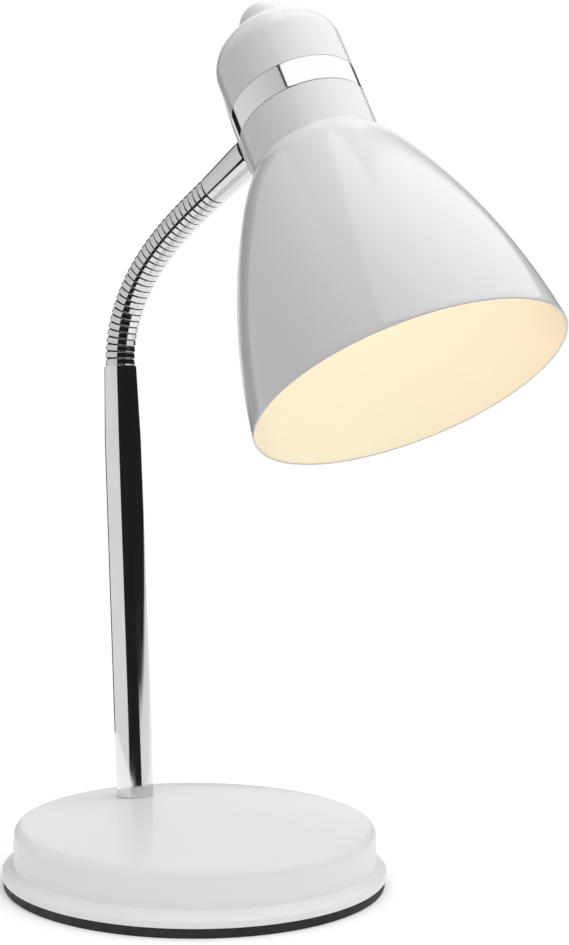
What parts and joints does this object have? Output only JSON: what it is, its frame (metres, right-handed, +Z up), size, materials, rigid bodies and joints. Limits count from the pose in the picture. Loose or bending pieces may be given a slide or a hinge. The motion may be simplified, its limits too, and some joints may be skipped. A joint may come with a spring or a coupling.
{
  "type": "desk lamp",
  "caption": "Gooseneck desk lamp: round weighted base, chrome upright, ribbed bending neck, bell shade with chrome band and push button.",
  "frame": {"origin": "middle of the base's underside, on the surface the lamp stands on", "axes": "+Z up, +X towards the lamp's front, where the shade hangs, +Y to the lamp's left"},
  "size_m": [0.2466, 0.16, 0.3602],
  "materials": {
    "painted_steel": "gloss white paint",
    "white_plastic": "gloss white plastic",
    "chrome": "bright chrome plate",
    "black_rubber": "matt black foam rubber",
    "cast_iron": "rough casting",
    "steel": "zinc-plated steel",
    "brass": "bare brass",
    "holder_plastic": "heat-proof plastic",
    "glass": "opal glass",
    "aluminium": "rolled thread"
  },
  "bodies": {
    "stand": {"base_cover": "painted_steel", "foot_pad": "black_rubber", "base_plate": "steel", "base_weight": "cast_iron", "base_screws": "steel", "cord_grommet": "holder_plastic", "stem_tube": "chrome", "stem_stud": "steel", "stem_washer": "steel", "stem_nut": "steel", "neck_socket": "chrome"},
    "turn_01": {"neck_link_01": "chrome"},
    "turn_02": {"neck_link_02": "chrome"},
    "turn_03": {"neck_link_03": "chrome"},
    "turn_04": {"neck_link_04": "chrome"},
    "turn_05": {"neck_link_05": "chrome"},
    "turn_06": {"neck_link_06": "chrome"},
    "turn_07": {"neck_link_07": "chrome"},
    "turn_08": {"neck_link_08": "chrome"},
    "turn_09": {"neck_link_09": "chrome"},
    "turn_10": {"neck_link_10": "chrome"},
    "turn_11": {"neck_link_11": "chrome"},
    "turn_12": {"neck_link_12": "chrome"},
    "turn_13": {"neck_link_13": "chrome"},
    "turn_14": {"neck_link_14": "chrome"},
    "turn_15": {"neck_link_15": "chrome"},
    "turn_16": {"neck_link_16": "chrome"},
    "turn_17": {"neck_link_17": "chrome"},
    "turn_18": {"neck_link_18": "chrome"},
    "turn_19": {"neck_link_19": "chrome"},
    "turn_20": {"neck_link_20": "chrome"},
    "turn_21": {"neck_link_21": "chrome"},
    "turn_22": {"neck_link_22": "chrome"},
    "turn_23": {"neck_link_23": "chrome"},
    "turn_24": {"neck_link_24": "chrome"},
    "turn_25": {"neck_link_25": "chrome"},
    "turn_26": {"neck_link_26": "chrome"},
    "turn_27": {"neck_link_27": "chrome"},
    "turn_28": {"neck_link_28": "chrome"},
    "turn_29": {"neck_link_29": "chrome"},
    "turn_30": {"neck_link_30": "chrome"},
    "turn_31": {"neck_link_31": "chrome"},
    "head": {"neck_ferrule": "chrome", "ferrule_nut": "steel", "head_housing": "white_plastic", "trim_band": "chrome", "shade": "painted_steel", "lampholder": "holder_plastic", "shade_ring": "holder_plastic", "lampholder_shell": "brass", "lampholder_contact": "brass", "bulb_globe": "glass", "bulb_cap": "aluminium", "switch_carrier": "white_plastic", "switch_body": "holder_plastic"},
    "button": {"switch_button": "white_plastic", "switch_plunger": "white_plastic"}
  },
  "joints": [
    {"name": "neck_bend_01", "type": "hinge", "parent": "stand", "child": "turn_01", "pos_m": [-0.05556, 0, 0.21763], "axis": [0, 1, 0], "range_deg": [-6, 1.5]},
    {"name": "neck_sway_02", "type": "hinge", "parent": "turn_01", "child": "turn_02", "pos_m": [-0.05569, 0, 0.22081], "axis": [-1, 0, -0.0035], "range_deg": [-4.5, 4.5]},
    {"name": "neck_bend_03", "type": "hinge", "parent": "turn_02", "child": "turn_03", "pos_m": [-0.05558, 0, 0.224], "axis": [0, 1, 0], "range_deg": [-6, 1.5]},
    {"name": "neck_sway_04", "type": "hinge", "parent": "turn_03", "child": "turn_04", "pos_m": [-0.05524, 0, 0.22716], "axis": [-0.99, 0, 0.1411], "range_deg": [-4.5, 4.5]},
    {"name": "neck_bend_05", "type": "hinge", "parent": "turn_04", "child": "turn_05", "pos_m": [-0.05468, 0, 0.2303], "axis": [0, 1, 0], "range_deg": [-6, 1.5]},
    {"name": "neck_sway_06", "type": "hinge", "parent": "turn_05", "child": "turn_06", "pos_m": [-0.05392, 0, 0.23339], "axis": [-0.9623, 0, 0.2722], "range_deg": [-4.5, 4.5]},
    {"name": "neck_bend_07", "type": "hinge", "parent": "turn_06", "child": "turn_07", "pos_m": [-0.05295, 0, 0.23642], "axis": [0, 1, 0], "range_deg": [-6, 1.5]},
    {"name": "neck_sway_08", "type": "hinge", "parent": "turn_07", "child": "turn_08", "pos_m": [-0.0518, 0, 0.23939], "axis": [-0.9215, 0, 0.3883], "range_deg": [-4.5, 4.5]},
    {"name": "neck_bend_09", "type": "hinge", "parent": "turn_08", "child": "turn_09", "pos_m": [-0.05048, 0, 0.24229], "axis": [0, 1, 0], "range_deg": [-6, 1.5]},
    {"name": "neck_sway_10", "type": "hinge", "parent": "turn_09", "child": "turn_10", "pos_m": [-0.049, 0, 0.2451], "axis": [-0.8721, 0, 0.4892], "range_deg": [-4.5, 4.5]},
    {"name": "neck_bend_11", "type": "hinge", "parent": "turn_10", "child": "turn_11", "pos_m": [-0.04737, 0, 0.24784], "axis": [0, 1, 0], "range_deg": [-6, 1.5]},
    {"name": "neck_sway_12", "type": "hinge", "parent": "turn_11", "child": "turn_12", "pos_m": [-0.0456, 0, 0.25049], "axis": [-0.818, 0, 0.5752], "range_deg": [-4.5, 4.5]},
    {"name": "neck_bend_13", "type": "hinge", "parent": "turn_12", "child": "turn_13", "pos_m": [-0.0437, 0, 0.25305], "axis": [0, 1, 0], "range_deg": [-6, 1.5]},
    {"name": "neck_sway_14", "type": "hinge", "parent": "turn_13", "child": "turn_14", "pos_m": [-0.0417, 0, 0.25552], "axis": [-0.7623, 0, 0.6473], "range_deg": [-4.5, 4.5]},
    {"name": "neck_bend_15", "type": "hinge", "parent": "turn_14", "child": "turn_15", "pos_m": [-0.03958, 0, 0.2579], "axis": [0, 1, 0], "range_deg": [-6, 1.5]},
    {"name": "neck_sway_16", "type": "hinge", "parent": "turn_15", "child": "turn_16", "pos_m": [-0.03738, 0, 0.26019], "axis": [-0.7077, 0, 0.7065], "range_deg": [-4.5, 4.5]},
    {"name": "neck_bend_17", "type": "hinge", "parent": "turn_16", "child": "turn_17", "pos_m": [-0.03508, 0, 0.2624], "axis": [0, 1, 0], "range_deg": [-5, 2.5]},
    {"name": "neck_sway_18", "type": "hinge", "parent": "turn_17", "child": "turn_18", "pos_m": [-0.03272, 0, 0.26453], "axis": [-0.6563, 0, 0.7545], "range_deg": [-5, 5]},
    {"name": "neck_bend_19", "type": "hinge", "parent": "turn_18", "child": "turn_19", "pos_m": [-0.03028, 0, 0.26658], "axis": [0, 1, 0], "range_deg": [-5, 2.5]},
    {"name": "neck_sway_20", "type": "hinge", "parent": "turn_19", "child": "turn_20", "pos_m": [-0.02778, 0, 0.26856], "axis": [-0.6099, 0, 0.7925], "range_deg": [-5, 5]},
    {"name": "neck_bend_21", "type": "hinge", "parent": "turn_20", "child": "turn_21", "pos_m": [-0.02523, 0, 0.27047], "axis": [0, 1, 0], "range_deg": [-5, 2.5]},
    {"name": "neck_sway_22", "type": "hinge", "parent": "turn_21", "child": "turn_22", "pos_m": [-0.02264, 0, 0.27231], "axis": [-0.5696, 0, 0.8219], "range_deg": [-5, 5]},
    {"name": "neck_bend_23", "type": "hinge", "parent": "turn_22", "child": "turn_23", "pos_m": [-0.02, 0, 0.27409], "axis": [0, 1, 0], "range_deg": [-5, 2.5]},
    {"name": "neck_sway_24", "type": "hinge", "parent": "turn_23", "child": "turn_24", "pos_m": [-0.01733, 0, 0.27582], "axis": [-0.5362, 0, 0.8441], "range_deg": [-5, 5]},
    {"name": "neck_bend_25", "type": "hinge", "parent": "turn_24", "child": "turn_25", "pos_m": [-0.01463, 0, 0.27751], "axis": [0, 1, 0], "range_deg": [-5, 2.5]},
    {"name": "neck_sway_26", "type": "hinge", "parent": "turn_25", "child": "turn_26", "pos_m": [-0.0119, 0, 0.27915], "axis": [-0.5103, 0, 0.86], "range_deg": [-5, 5]},
    {"name": "neck_bend_27", "type": "hinge", "parent": "turn_26", "child": "turn_27", "pos_m": [-0.00915, 0, 0.28076], "axis": [0, 1, 0], "range_deg": [-5, 2.5]},
    {"name": "neck_sway_28", "type": "hinge", "parent": "turn_27", "child": "turn_28", "pos_m": [-0.00638, 0, 0.28234], "axis": [-0.4921, 0, 0.8705], "range_deg": [-5, 5]},
    {"name": "neck_bend_29", "type": "hinge", "parent": "turn_28", "child": "turn_29", "pos_m": [-0.00361, 0, 0.28389], "axis": [0, 1, 0], "range_deg": [-5, 2.5]},
    {"name": "neck_sway_30", "type": "hinge", "parent": "turn_29", "child": "turn_30", "pos_m": [-0.00082, 0, 0.28543], "axis": [-0.4817, 0, 0.8764], "range_deg": [-5, 5]},
    {"name": "neck_bend_31", "type": "hinge", "parent": "turn_30", "child": "turn_31", "pos_m": [0.00198, 0, 0.28696], "axis": [0, 1, 0], "range_deg": [-5, 2.5]},
    {"name": "neck_sway_32", "type": "hinge", "parent": "turn_31", "child": "head", "pos_m": [0.00477, 0, 0.28848], "axis": [-0.4783, 0, 0.8782], "range_deg": [-5, 5]},
    {"name": "button_press", "type": "slide", "parent": "head", "child": "button", "axis": [0.4782, 0, -0.8782], "range_m": [0, 0.003], "stiffness_N_per_m": 700, "springref_m": -0.002}
  ]
}
